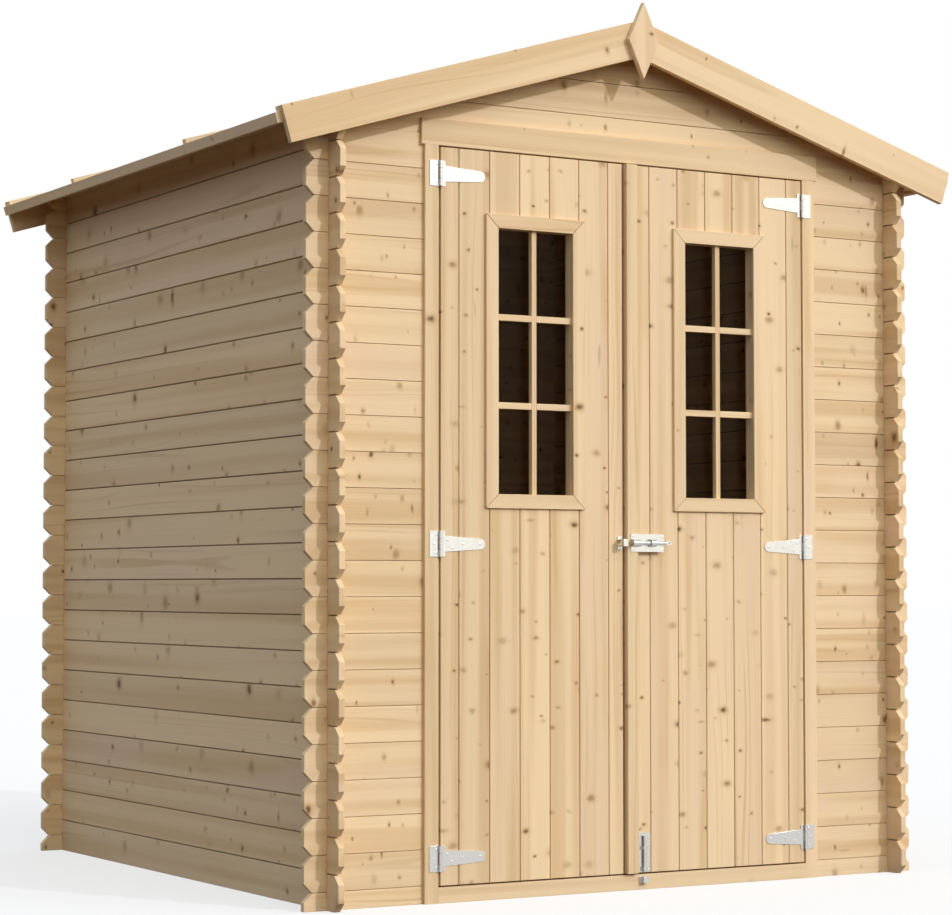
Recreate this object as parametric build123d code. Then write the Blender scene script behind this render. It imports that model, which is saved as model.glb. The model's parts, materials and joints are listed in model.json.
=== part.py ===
from build123d import *
import math
import os

# Walls: boards laid flat on edge, halved into each other where they cross at the corners
BOARD_HEIGHT = 87.0
BOARD = 16.0
WALL_WIDTH = 1703.0
WALL_DEPTH = 1696.0
LOG_END = 60.0
LOG_CHAMFER = 22.0
LEAST_NECK = 10.0
NOTCH_PLAY = 0.25
NOTCH_SHARE = 0.25
HALF_ROW_SHARE = 0.5

# Roof: boards and felt on purlins, with battens, eave strips, barge boards and finials
ROOF_PITCH = 17.0
WALL_OVER_DOOR = 64.2
EAVE_OVERHANG = 160.0
GABLE_OVERHANG = 55.0
BARGE = 16.0
BARGE_HEIGHT = 91.0
BATTEN = 13.0
BATTEN_WIDTH = 20.0
BATTEN_SPACING = 752.0
BATTEN_OFFSET = 16.0
BATTEN_RIDGE_GAP = 4.0
FELT = 2.0
ROOF_BOARD = 16.0
EAVE_STRIP = 14.0
EAVE_STRIP_HEIGHT = 26.0
PURLIN_WIDTH = 44.0
PURLIN_HEIGHT = 28.0
PURLIN_SPACING = 430.0
FINIAL = 16.0
FINIAL_WIDTH = 91.0
FINIAL_HEIGHT = 196.0
FINIAL_DROP = 55.0

# Doorway: grooved posts, head rail and sill, with a header board over the front
DOORWAY_WIDTH = 1110.0
DOORWAY_HEIGHT = 1843.0
DOORWAY_OFFSET = 1.0
POST_WIDTH = 38.0
POST_DEPTH = 40.0
POST_PROUD = 10.0
POST_GROOVE = 12.0
GROOVE_PLAY = 0.5
HEADER = 10.0
HEADER_HEIGHT = 65.0
HEADER_LAP = 9.5
SILL_HEIGHT = 38.4

# Floor: boards on bearers inside the walls
FLOOR_BOARD = 16.0
BEARER_WIDTH = 44.0
BEARER_HEIGHT = 24.0
BEARER_COUNT = 5
FLOOR_PLAY = 2.0

# Door leaves: boarded panels on ledges, meeting left of the doorway's middle behind a cover strip
LEAF = 16.0
LEAF_GAP = 6.0
LEAF_HEAD_GAP = 4.0
MEETING_OFFSET = -16.35
LEDGE = 16.0
LEDGE_HEIGHT = 90.0
LEDGE_INSET = 24.0
STRIP = 14.0
STRIP_WIDTH = 32.0

# Windows: mitred trim in front, a rebated bead behind that holds the glass
WINDOW_WIDTH = 218.0
WINDOW_HEIGHT = 658.0
WINDOW_HEAD = 189.5
WINDOW_FROM_EDGE = 269.0
TRIM = 7.5
TRIM_WIDTH = 35.0
BEAD = 20.0
BEAD_WIDTH = 30.0
BEAD_LIP = 14.0
GLASS = 3.0
GLASS_LAP = 8.0
GLASS_PLAY = 0.3

# Tee hinges: a plate on the post carries the pin, a tapered strap on the leaf turns about it
HINGE_FROM_END = 65.5
HINGE_UNDER_WINDOW = 123.5
HINGE_PROUD = 5.0
HINGE_PLATE = 2.0
PLATE_WIDTH = 26.0
PLATE_HEIGHT = 63.0
KNUCKLE_RADIUS = 4.5
PIN_RADIUS = 2.5
PIN_PLAY = 0.3
KNUCKLE_GAP = 1.0
STRAP_KNUCKLE_SHARE = 0.4
STRAP_LENGTH = 127.0
STRAP_BAR = 9.0
STRAP_BASE = 40.0
STRAP_TIP = 26.0

# Latch: a sliding bolt across the meeting edges, on a plate over the cover strip
LATCH_UNDER_WINDOW = 117.0
LATCH_PLATE = 2.0
LATCH_LENGTH = 100.0
LATCH_PLATE_HEIGHT = 45.0
LATCH_SETBACK = 9.0
LATCH_ROD_RADIUS = 5.0
LATCH_ROD_LENGTH = 106.0
LATCH_TANG = 3.0
LATCH_TANG_LENGTH = 16.0
LATCH_EYE_RADIUS = 2.75
LATCH_TRAVEL = 30.0
LATCH_GUIDE = 4.0
LATCH_FRONT_GUIDE = 25.0
LATCH_REAR_GUIDE = 16.0
LATCH_REAR_GUIDE_PLACE = 55.0
ROD_PLAY = 0.4
PACKER_INSET = 6.0
KEEPER_WIDTH = 14.0
KEEPER_HEIGHT = 33.0
KEEPER_SETBACK = 3.0
KEEPER_STRIP = 2.5
KEEPER_PLAY = 1.4

# Foot bolt: a smaller bolt that drops into a keeper on the sill
FOOT_PLATE_WIDTH = 38.0
FOOT_PLATE_HEIGHT = 99.0
FOOT_PLATE_GAP = 3.0
FOOT_PLATE_RISE = 1.5
FOOT_ROD_RADIUS = 4.0
FOOT_ROD_LENGTH = 91.0
FOOT_TRAVEL = 28.0
FOOT_GUIDE = 3.0
FOOT_GUIDE_LENGTH = 10.0
FOOT_GUIDE_RISES = (10.0, 61.0)
FOOT_KEEPER_WIDTH = 27.0
FOOT_KEEPER_HEIGHT = 16.0
FOOT_KEEPER_RISE = 17.0

OVERRUN = 50.0

# Places worked out from the sizes above
half_width = WALL_WIDTH / 2
half_depth = WALL_DEPTH / 2
front = -half_depth
slope_tan = math.tan(math.radians(ROOF_PITCH))
slope_sin = math.sin(math.radians(ROOF_PITCH))
slope_cos = math.cos(math.radians(ROOF_PITCH))
slope_length = (half_width + EAVE_OVERHANG) / slope_cos
felt_depth = BATTEN
roof_board_depth = felt_depth + FELT
roof_under_depth = roof_board_depth + ROOF_BOARD
wall_height = DOORWAY_HEIGHT + WALL_OVER_DOOR
ridge_height = wall_height + half_width * slope_tan + roof_under_depth / slope_cos
roof_half_depth = half_depth + GABLE_OVERHANG
barge_face = roof_half_depth + BARGE
doorway_left = DOORWAY_OFFSET - DOORWAY_WIDTH / 2
doorway_right = DOORWAY_OFFSET + DOORWAY_WIDTH / 2
door_wall_rows = math.floor(DOORWAY_HEIGHT / BOARD_HEIGHT - HALF_ROW_SHARE) + 1
door_wall_top = (door_wall_rows + HALF_ROW_SHARE) * BOARD_HEIGHT
door_face = front - POST_PROUD
door_back = door_face + LEAF
post_back = door_face + POST_DEPTH
meeting = DOORWAY_OFFSET + MEETING_OFFSET
leaf_bottom = SILL_HEIGHT + LEAF_HEAD_GAP
leaf_top = DOORWAY_HEIGHT - LEAF_HEAD_GAP
window_z = (leaf_top - WINDOW_HEAD - WINDOW_HEIGHT, leaf_top - WINDOW_HEAD)
hinge_heights = (leaf_bottom + HINGE_FROM_END, window_z[0] - HINGE_UNDER_WINDOW, leaf_top - HINGE_FROM_END)
latch_height = window_z[0] - LATCH_UNDER_WINDOW
floor_top = BEARER_HEIGHT + FLOOR_BOARD
hinge_axis_y = door_face - HINGE_PROUD
nodes = {}


def block(x, y, z):
    """A box given by its low and high limits along each axis."""
    size = Box(x[1] - x[0], y[1] - y[0], z[1] - z[0])
    return Pos((x[0] + x[1]) / 2, (y[0] + y[1]) / 2, (z[0] + z[1]) / 2) * size


def prism(points, plane, depth):
    """A closed outline on a plane, drawn out along the plane's normal."""
    return extrude(plane * make_face(Polyline(*points, close=True)), depth)


def facing_front(y):
    """A plane across the shed at y: its own axes are X and Z, its normal points to the back."""
    return Plane(origin=(0, y, 0), x_dir=(-1, 0, 0), z_dir=(0, 1, 0))


def across(points, y0, y1):
    """An X and Z outline drawn out from y0 to y1."""
    return prism([(-x, z) for x, z in points], facing_front(y0), y1 - y0)


def along(points, x0, x1):
    """A Y and Z outline drawn out from x0 to x1."""
    plane = Plane(origin=(x0, 0, 0), x_dir=(0, 1, 0), z_dir=(1, 0, 0))
    return prism(points, plane, x1 - x0)


def mirrored(shape):
    """The same piece on the other side of the shed's middle."""
    return mirror(shape, Plane.YZ)


def turned(shape):
    """The same piece at the back of the shed."""
    return mirror(shape, Plane.XZ)


# Roof lines: a point down the slope from the ridge and in from the tops of the barge boards
def roof_point(down, depth):
    x = down * slope_cos - depth * slope_sin
    return (x, ridge_height - down * slope_sin - depth * slope_cos)


def roof_height(x, depth):
    return ridge_height - abs(x) * slope_tan - depth / slope_cos


def slope_piece(depths, y, start=None, end=slope_length):
    """A layer of the right-hand slope, mitred at the ridge unless a start is given."""
    starts = [depth * slope_tan if start is None else start for depth in depths]
    outline = [
        roof_point(starts[0], depths[0]),
        roof_point(end, depths[0]),
        roof_point(end, depths[1]),
        roof_point(starts[1], depths[1]),
    ]
    return across(outline, y[0], y[1])


# Log ends: each board's end is chamfered above and below, so a wall's edge is scalloped
def scalloped_edge(tip, inward, rows):
    """One wall edge from the bottom up; a row that the roof cuts off at the corner stops inside it."""
    points = []
    cut_off = tip + inward * (LOG_END + BOARD + NOTCH_PLAY)
    for low, high, has_low_chamfer, has_log_end in rows:
        if not has_log_end:
            points += [(cut_off, low), (cut_off, high)]
            continue
        if has_low_chamfer:
            points += [(tip + inward * LOG_CHAMFER, low), (tip, low + LOG_CHAMFER)]
        else:
            points.append((tip, low))
        points += [(tip, high - LOG_CHAMFER), (tip + inward * LOG_CHAMFER, high)]
    return [point for place, point in enumerate(points) if place == 0 or point != points[place - 1]]


def side_rows():
    count = math.ceil(roof_height(half_width - BOARD, roof_under_depth) / BOARD_HEIGHT)
    return [(row * BOARD_HEIGHT, (row + 1) * BOARD_HEIGHT, True, True) for row in range(count)]


def end_rows(first, last):
    rows = []
    for row in range(first, last):
        low = max(0, (row - HALF_ROW_SHARE) * BOARD_HEIGHT)
        high = (row + HALF_ROW_SHARE) * BOARD_HEIGHT
        neck = wall_height - (row - NOTCH_SHARE) * BOARD_HEIGHT
        rows.append((low, high, low > 0, neck > LEAST_NECK))
    return rows


gable_row_end = math.ceil(ridge_height / BOARD_HEIGHT + HALF_ROW_SHARE)


def notches(x_middle, y_middle, first_share, rows):
    """Slots half a board high, one per row, where the crossing boards pass through."""
    wide = BOARD + 2 * NOTCH_PLAY
    slots = []
    for row in range(rows):
        low = (row + first_share) * BOARD_HEIGHT
        high = low + 2 * NOTCH_SHARE * BOARD_HEIGHT
        x = (x_middle - wide / 2, x_middle + wide / 2)
        y = (y_middle - wide / 2, y_middle + wide / 2)
        slots.append(block(x, y, (low, high)))
    return slots


corner_x = half_width - BOARD / 2
corner_y = half_depth - BOARD / 2
row_count = gable_row_end + 1


# Purlins: the ridge purlin and one down each slope, shaped to the roof above and run through the gables
def purlin(x):
    left = x - PURLIN_WIDTH / 2
    right = x + PURLIN_WIDTH / 2
    tops = [(right, roof_height(right, roof_under_depth)), (left, roof_height(left, roof_under_depth))]
    if left < 0 < right:
        tops.insert(1, (0, roof_height(0, roof_under_depth)))
    bottom = min(z for _, z in tops) - PURLIN_HEIGHT
    return across([(left, bottom), (right, bottom)] + tops, -roof_half_depth, roof_half_depth)


purlin_right = purlin(PURLIN_SPACING)
nodes["ridge_purlin"] = purlin(0)
nodes["side_purlins"] = Compound([purlin_right, mirrored(purlin_right)])

sky_x = half_width + EAVE_OVERHANG + OVERRUN
sky_top = ridge_height + BOARD_HEIGHT + OVERRUN
sky = across(
    [
        (-sky_x, roof_height(sky_x, roof_under_depth)),
        (0, roof_height(0, roof_under_depth)),
        (sky_x, roof_height(sky_x, roof_under_depth)),
        (sky_x, sky_top),
        (-sky_x, sky_top),
    ],
    -roof_half_depth - OVERRUN,
    roof_half_depth + OVERRUN,
)


# Side walls: full boards from the ground, cut to the roof, slotted for the end walls' boards
def side_wall():
    tip = half_depth + LOG_END
    rows = side_rows()
    near = scalloped_edge(-tip, 1, rows)
    far = scalloped_edge(tip, -1, rows)
    wall = along(near + far[::-1], -half_width, BOARD - half_width) - sky
    slots = notches(-corner_x, -corner_y, -NOTCH_SHARE, row_count)
    return wall - slots - [turned(slot) for slot in slots]


nodes["left_wall"] = side_wall()
nodes["right_wall"] = mirrored(nodes["left_wall"])


# End walls: half a board at the ground, so their joints fall between the side walls' joints
def slotted_for_sides(wall):
    slots = notches(-corner_x, -corner_y, NOTCH_SHARE, row_count)
    return wall - slots - [mirrored(slot) for slot in slots]


def end_wall(first, last):
    tip = half_width + LOG_END
    rows = end_rows(first, last)
    left = scalloped_edge(-tip, 1, rows)
    right = scalloped_edge(tip, -1, rows)
    return slotted_for_sides(across(left + right[::-1], front, front + BOARD) - sky)


def wall_beside_door(tip, inward, cut_end):
    edge = scalloped_edge(tip, inward, end_rows(0, door_wall_rows + 1))
    outline = edge + [(cut_end, door_wall_top), (cut_end, 0)]
    return slotted_for_sides(across(outline, front, front + BOARD) - sky)


in_groove = POST_WIDTH - POST_GROOVE + GROOVE_PLAY
nodes["front_wall_left"] = wall_beside_door(-half_width - LOG_END, 1, doorway_left - in_groove)
nodes["front_wall_right"] = wall_beside_door(half_width + LOG_END, -1, doorway_right + in_groove)
nodes["back_wall"] = turned(end_wall(0, door_wall_rows + 1))

gable = end_wall(door_wall_rows + 1, gable_row_end)
gable -= [nodes["ridge_purlin"], purlin_right, mirrored(purlin_right)]
nodes["front_gable"] = gable
nodes["back_gable"] = turned(gable)

# Roof covering: boards, one sheet of felt folded over the ridge, and battens that hold it down
roof_y = (-roof_half_depth, roof_half_depth)
nodes["roof_right"] = slope_piece((roof_board_depth, roof_under_depth), roof_y)
nodes["roof_left"] = mirrored(nodes["roof_right"])

felt_edge = [
    roof_point(slope_length, felt_depth),
    roof_point(slope_length, roof_board_depth),
    (0, roof_height(0, roof_board_depth)),
]
felt_far = [(-x, z) for x, z in felt_edge[:2]][::-1]
nodes["roof_felt"] = across(felt_edge + felt_far + [(0, roof_height(0, felt_depth))], *roof_y)

end_batten = roof_half_depth - BATTEN_WIDTH / 2
batten_places = (
    -end_batten,
    BATTEN_OFFSET - BATTEN_SPACING / 2,
    BATTEN_OFFSET + BATTEN_SPACING / 2,
    end_batten,
)
batten_start = felt_depth * slope_tan + BATTEN_RIDGE_GAP
battens = []
for place in batten_places:
    batten_y = (place - BATTEN_WIDTH / 2, place + BATTEN_WIDTH / 2)
    battens.append(slope_piece((0, felt_depth), batten_y, batten_start))
nodes["roof_battens"] = Compound(battens + [mirrored(batten) for batten in battens])

strip_depths = (felt_depth, felt_depth + EAVE_STRIP_HEIGHT)
eave_strip = slope_piece(strip_depths, roof_y, slope_length, slope_length + EAVE_STRIP)
nodes["eave_strips"] = Compound([eave_strip, mirrored(eave_strip)])

# Barge boards and finials at both gable ends
barge = slope_piece((0, BARGE_HEIGHT), (-barge_face, -roof_half_depth))
nodes["front_barge_right"] = barge
nodes["front_barge_left"] = mirrored(barge)
nodes["back_barge_right"] = turned(barge)
nodes["back_barge_left"] = turned(nodes["front_barge_left"])

# The side walls' top log ends are trimmed to the backs of the barge boards
barge_room = slope_piece((0, BARGE_HEIGHT), (-barge_face - OVERRUN, -roof_half_depth))
nodes["right_wall"] -= [barge_room, turned(barge_room)]
nodes["left_wall"] = mirrored(nodes["right_wall"])

finial_middle = ridge_height - FINIAL_DROP
finial = across(
    [
        (-FINIAL_WIDTH / 2, finial_middle),
        (0, finial_middle - FINIAL_HEIGHT / 2),
        (FINIAL_WIDTH / 2, finial_middle),
        (0, finial_middle + FINIAL_HEIGHT / 2),
    ],
    -barge_face - FINIAL,
    -barge_face,
)
nodes["front_finial"] = finial
nodes["back_finial"] = turned(finial)


# Door frame: posts grooved for the wall boards and notched for the header, a head rail and a sill
def door_post(inner, outward):
    x = sorted((inner, inner + outward * POST_WIDTH))
    post = block(x, (door_face, post_back), (0, door_wall_top))
    groove_floor = inner + outward * (POST_WIDTH - POST_GROOVE)
    groove_x = sorted((groove_floor, groove_floor + outward * (POST_GROOVE + OVERRUN)))
    groove_y = (front - NOTCH_PLAY, front + BOARD + NOTCH_PLAY)
    post -= block(groove_x, groove_y, (-OVERRUN, door_wall_top + OVERRUN))
    notch_x = (x[0] - OVERRUN, x[1] + OVERRUN)
    return post - block(notch_x, (door_face - OVERRUN, front), (DOORWAY_HEIGHT, door_wall_top + OVERRUN))


nodes["door_post_left"] = door_post(doorway_left, -1)
nodes["door_post_right"] = door_post(doorway_right, 1)
doorway_x = (doorway_left, doorway_right)
nodes["door_head"] = block(doorway_x, (front, post_back), (DOORWAY_HEIGHT, door_wall_top))
nodes["door_sill"] = block(doorway_x, (door_face, post_back), (0, SILL_HEIGHT))
header_x = (doorway_left - POST_WIDTH - HEADER_LAP, doorway_right + POST_WIDTH + HEADER_LAP)
header_z = (DOORWAY_HEIGHT, DOORWAY_HEIGHT + HEADER_HEIGHT)
nodes["header_board"] = block(header_x, (front - HEADER, front), header_z)

# Floor inside the walls, level with the sill
floor_x = half_width - BOARD - FLOOR_PLAY
floor_y = (post_back, half_depth - BOARD - FLOOR_PLAY)
nodes["floor"] = block((-floor_x, floor_x), floor_y, (BEARER_HEIGHT, floor_top))
bearer_step = (floor_y[1] - floor_y[0] - BEARER_WIDTH) / (BEARER_COUNT - 1)
bearers = []
for place in range(BEARER_COUNT):
    low = floor_y[0] + place * bearer_step
    bearers.append(block((-floor_x, floor_x), (low, low + BEARER_WIDTH), (0, BEARER_HEIGHT)))
nodes["floor_bearers"] = Compound(bearers)


# Door leaf: a panel with its window, ledges behind, and the hinge straps on its face
def ring(x, z, wide, y):
    """A frame round an opening, with its members outside the opening's limits."""
    outer = block((x[0] - wide, x[1] + wide), y, (z[0] - wide, z[1] + wide))
    return outer - block(x, (y[0] - OVERRUN, y[1] + OVERRUN), z)


def hinge_barrel(x, low, high, radius):
    return Pos(x, hinge_axis_y, (low + high) / 2) * Cylinder(radius, high - low)


strap_knuckle = PLATE_HEIGHT * STRAP_KNUCKLE_SHARE
knuckle_clear = KNUCKLE_RADIUS + KNUCKLE_GAP


def hinge_plate(axis_x, inward, middle):
    """The part of a tee hinge on the post: plate, two knuckles and the pin."""
    low = middle - PLATE_HEIGHT / 2
    high = middle + PLATE_HEIGHT / 2
    y = (door_face - HINGE_PLATE, door_face)
    plate_end = axis_x - inward * (LEAF_GAP / 2 + PLATE_WIDTH)
    plate = block(sorted((plate_end, axis_x)), y, (low, high))
    gap = strap_knuckle / 2 + KNUCKLE_GAP
    cut_x = sorted((axis_x - inward * knuckle_clear, axis_x + inward * OVERRUN))
    plate -= block(cut_x, (y[0] - OVERRUN, y[1] + OVERRUN), (middle - gap, middle + gap))
    plate += hinge_barrel(axis_x, low, middle - gap, KNUCKLE_RADIUS)
    plate += hinge_barrel(axis_x, middle + gap, high, KNUCKLE_RADIUS)
    return plate + hinge_barrel(axis_x, low, high, PIN_RADIUS)


def hinge_strap(axis_x, inward, middle):
    """The part of a tee hinge on the leaf: a bar with a tapered strap and round tip, and its knuckle."""
    base = axis_x + inward * knuckle_clear
    tip = axis_x + inward * STRAP_LENGTH
    shoulder = tip - inward * STRAP_TIP / 2
    edge = [
        Line((base, middle - STRAP_BASE / 2), (shoulder, middle - STRAP_TIP / 2)),
        ThreePointArc((shoulder, middle - STRAP_TIP / 2), (tip, middle), (shoulder, middle + STRAP_TIP / 2)),
        Line((shoulder, middle + STRAP_TIP / 2), (base, middle + STRAP_BASE / 2)),
        Line((base, middle + STRAP_BASE / 2), (base, middle - STRAP_BASE / 2)),
    ]
    plane = Plane(origin=(0, door_face, 0), x_dir=(1, 0, 0), z_dir=(0, -1, 0))
    strap = extrude(plane * make_face(edge), HINGE_PLATE)
    bar_x = sorted((base, base + inward * STRAP_BAR))
    bar_z = (middle - PLATE_HEIGHT / 2, middle + PLATE_HEIGHT / 2)
    strap += block(bar_x, (door_face - HINGE_PLATE, door_face), bar_z)
    knuckle = (middle - strap_knuckle / 2, middle + strap_knuckle / 2)
    strap += block(sorted((axis_x, base)), (door_face - HINGE_PLATE, door_face), knuckle)
    strap += hinge_barrel(axis_x, knuckle[0], knuckle[1], KNUCKLE_RADIUS)
    return strap - hinge_barrel(axis_x, knuckle[0] - OVERRUN, knuckle[1] + OVERRUN, PIN_RADIUS + PIN_PLAY)


def door_leaf(side, hinge_edge, free_edge, inward):
    x = sorted((hinge_edge, free_edge))
    z = (leaf_bottom, leaf_top)
    window_middle = hinge_edge + inward * WINDOW_FROM_EDGE
    window_x = (window_middle - WINDOW_WIDTH / 2, window_middle + WINDOW_WIDTH / 2)
    panel = block(x, (door_face, door_back), z)
    nodes[f"{side}_leaf"] = panel - block(window_x, (door_face - OVERRUN, door_back + OVERRUN), window_z)
    trim = ring(window_x, window_z, TRIM_WIDTH, (door_face - TRIM, door_face))
    bead = ring(window_x, window_z, BEAD_WIDTH, (door_back, door_back + BEAD))
    glass_x = (window_x[0] - GLASS_LAP, window_x[1] + GLASS_LAP)
    glass_z = (window_z[0] - GLASS_LAP, window_z[1] + GLASS_LAP)
    glass_face = door_back + BEAD_LIP
    rebate_x = (glass_x[0] - GLASS_PLAY, glass_x[1] + GLASS_PLAY)
    rebate_z = (glass_z[0] - GLASS_PLAY, glass_z[1] + GLASS_PLAY)
    bead -= block(rebate_x, (glass_face, door_back + BEAD + OVERRUN), rebate_z)
    nodes[f"{side}_window_trim"] = Compound([trim, bead])
    nodes[f"{side}_window_glass"] = block(glass_x, (glass_face, glass_face + GLASS), glass_z)
    axis_x = hinge_edge - inward * LEAF_GAP / 2
    ledge_x = (x[0] + LEDGE_INSET, x[1] - LEDGE_INSET)
    ledges = []
    plates = []
    straps = []
    for middle in hinge_heights:
        ledge_z = (middle - LEDGE_HEIGHT / 2, middle + LEDGE_HEIGHT / 2)
        ledges.append(block(ledge_x, (door_back, door_back + LEDGE), ledge_z))
        plates.append(hinge_plate(axis_x, inward, middle))
        straps.append(hinge_strap(axis_x, inward, middle))
    nodes[f"{side}_ledges"] = Compound(ledges)
    nodes[f"{side}_hinge_plates"] = Compound(plates)
    nodes[f"{side}_hinge_straps"] = Compound(straps)


right_free_edge = meeting + LEAF_GAP / 2
left_free_edge = meeting - LEAF_GAP / 2
door_leaf("left", doorway_left + LEAF_GAP, left_free_edge, 1)
door_leaf("right", doorway_right - LEAF_GAP, right_free_edge, -1)
strip_x = (right_free_edge, right_free_edge + STRIP_WIDTH)
strip_face = door_face - STRIP
nodes["cover_strip"] = block(strip_x, (strip_face, door_face), (leaf_bottom, leaf_top))


# Sliding latch: rod guides are arches on a plate
def arch(half, seat, axis_y, length):
    """An arch round a rod that runs along X through the origin, standing on a seat behind it."""
    outline = [
        Line((seat, half), (axis_y, half)),
        ThreePointArc((axis_y, half), (axis_y - half, 0), (axis_y, -half)),
        Line((axis_y, -half), (seat, -half)),
        Line((seat, -half), (seat, half)),
    ]
    plane = Plane(origin=(-length / 2, 0, 0), x_dir=(0, 1, 0), z_dir=(1, 0, 0))
    return extrude(plane * make_face(outline), length)


def rod_bore(radius, axis_y, length):
    return Pos(0, axis_y, 0) * Rot(0, 90, 0) * Cylinder(radius + ROD_PLAY, length + OVERRUN)


latch_back = strip_face - LATCH_PLATE
latch_axis_y = latch_back - LATCH_ROD_RADIUS - ROD_PLAY
latch_half = LATCH_ROD_RADIUS + ROD_PLAY + LATCH_GUIDE
latch_x = (right_free_edge + LATCH_SETBACK, right_free_edge + LATCH_SETBACK + LATCH_LENGTH)
latch_z = (latch_height - LATCH_PLATE_HEIGHT / 2, latch_height + LATCH_PLATE_HEIGHT / 2)
latch_plate = block(latch_x, (latch_back, strip_face), latch_z)
guide_places = (
    (latch_x[0] + LATCH_FRONT_GUIDE / 2, LATCH_FRONT_GUIDE),
    (latch_x[0] + LATCH_REAR_GUIDE_PLACE + LATCH_REAR_GUIDE / 2, LATCH_REAR_GUIDE),
)
for place, length in guide_places:
    guide = arch(latch_half, latch_back, latch_axis_y, length)
    guide -= rod_bore(LATCH_ROD_RADIUS, latch_axis_y, length)
    latch_plate += Pos(place, 0, latch_height) * guide
nodes["latch_plate"] = latch_plate
packer_x = (strip_x[1], latch_x[1] - PACKER_INSET)
packer_z = (latch_z[0] + PACKER_INSET, latch_z[1] - PACKER_INSET)
nodes["latch_packer"] = block(packer_x, (strip_face, door_face), packer_z)


# Keepers: strips bent over the rod, with a foot above and below
def keeper(radius, axis_y, spread, length):
    """A bent strip over a rod that runs along X through the origin, with its feet on the door's face."""
    inner = radius + KEEPER_PLAY
    outer = inner + KEEPER_STRIP
    crown = axis_y - inner
    half = [
        (door_face, inner),
        (door_face, spread / 2),
        (door_face - KEEPER_STRIP, spread / 2),
        (door_face - KEEPER_STRIP, outer),
        (crown - KEEPER_STRIP, outer),
    ]
    inside = [(crown, -inner), (crown, inner)]
    return along(half + [(y, -z) for y, z in half[::-1]] + inside, -length / 2, length / 2)


keeper_middle = left_free_edge - KEEPER_SETBACK - KEEPER_WIDTH / 2
latch_keeper = keeper(LATCH_ROD_RADIUS, latch_axis_y, KEEPER_HEIGHT, KEEPER_WIDTH)
nodes["latch_keeper"] = Pos(keeper_middle, 0, latch_height) * latch_keeper

# The latch's rod ends in a flattened tang with an eye for a padlock
rod_left = keeper_middle - KEEPER_WIDTH / 2 + LATCH_TRAVEL
rod_right = rod_left + LATCH_ROD_LENGTH
rod_middle = rod_left + LATCH_ROD_LENGTH / 2
tang_middle = rod_right + LATCH_TANG_LENGTH / 2
tang_y = (latch_axis_y - LATCH_TANG / 2, latch_axis_y + LATCH_TANG / 2)
tang_z = (latch_height - LATCH_ROD_RADIUS, latch_height + LATCH_ROD_RADIUS)
latch_rod = Rot(0, 90, 0) * Cylinder(LATCH_ROD_RADIUS, LATCH_ROD_LENGTH)
latch_bolt = Pos(rod_middle, latch_axis_y, latch_height) * latch_rod
latch_bolt += block((rod_right, rod_right + LATCH_TANG_LENGTH), tang_y, tang_z)
latch_eye = Rot(90, 0, 0) * Cylinder(LATCH_EYE_RADIUS, LATCH_TANG + OVERRUN)
nodes["latch_bolt"] = latch_bolt - Pos(tang_middle, latch_axis_y, latch_height) * latch_eye

# Foot bolt beside the cover strip, and its keeper on the sill
foot_back = door_face - LATCH_PLATE
foot_axis_y = foot_back - FOOT_ROD_RADIUS - ROD_PLAY
foot_half = FOOT_ROD_RADIUS + ROD_PLAY + FOOT_GUIDE
foot_x = strip_x[1] + FOOT_PLATE_GAP + FOOT_PLATE_WIDTH / 2
foot_low = leaf_bottom + FOOT_PLATE_RISE
foot_plate = block(
    (foot_x - FOOT_PLATE_WIDTH / 2, foot_x + FOOT_PLATE_WIDTH / 2),
    (foot_back, door_face),
    (foot_low, foot_low + FOOT_PLATE_HEIGHT),
)


def foot_arch(seat, length):
    body = arch(foot_half, seat, foot_axis_y, length) - rod_bore(FOOT_ROD_RADIUS, foot_axis_y, length)
    return Rot(0, 90, 0) * body


for rise in FOOT_GUIDE_RISES:
    foot_plate += Pos(foot_x, 0, foot_low + rise) * foot_arch(foot_back, FOOT_GUIDE_LENGTH)
nodes["foot_bolt_plate"] = foot_plate
foot_rod_middle = FOOT_KEEPER_RISE + FOOT_TRAVEL + FOOT_ROD_LENGTH / 2
nodes["foot_bolt"] = Pos(foot_x, foot_axis_y, foot_rod_middle) * Cylinder(FOOT_ROD_RADIUS, FOOT_ROD_LENGTH)

foot_keeper_middle = FOOT_KEEPER_RISE + FOOT_KEEPER_HEIGHT / 2
foot_keeper = keeper(FOOT_ROD_RADIUS, foot_axis_y, FOOT_KEEPER_WIDTH, FOOT_KEEPER_HEIGHT)
nodes["foot_bolt_keeper"] = Pos(foot_x, 0, foot_keeper_middle) * Rot(0, 90, 0) * foot_keeper

os.makedirs("parts", exist_ok=True)
for name, shape in nodes.items():
    export_step(shape, f"parts/{name}.step")
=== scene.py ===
import json
import math
import random
import bmesh
import bpy
from mathutils import Matrix, Vector


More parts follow.
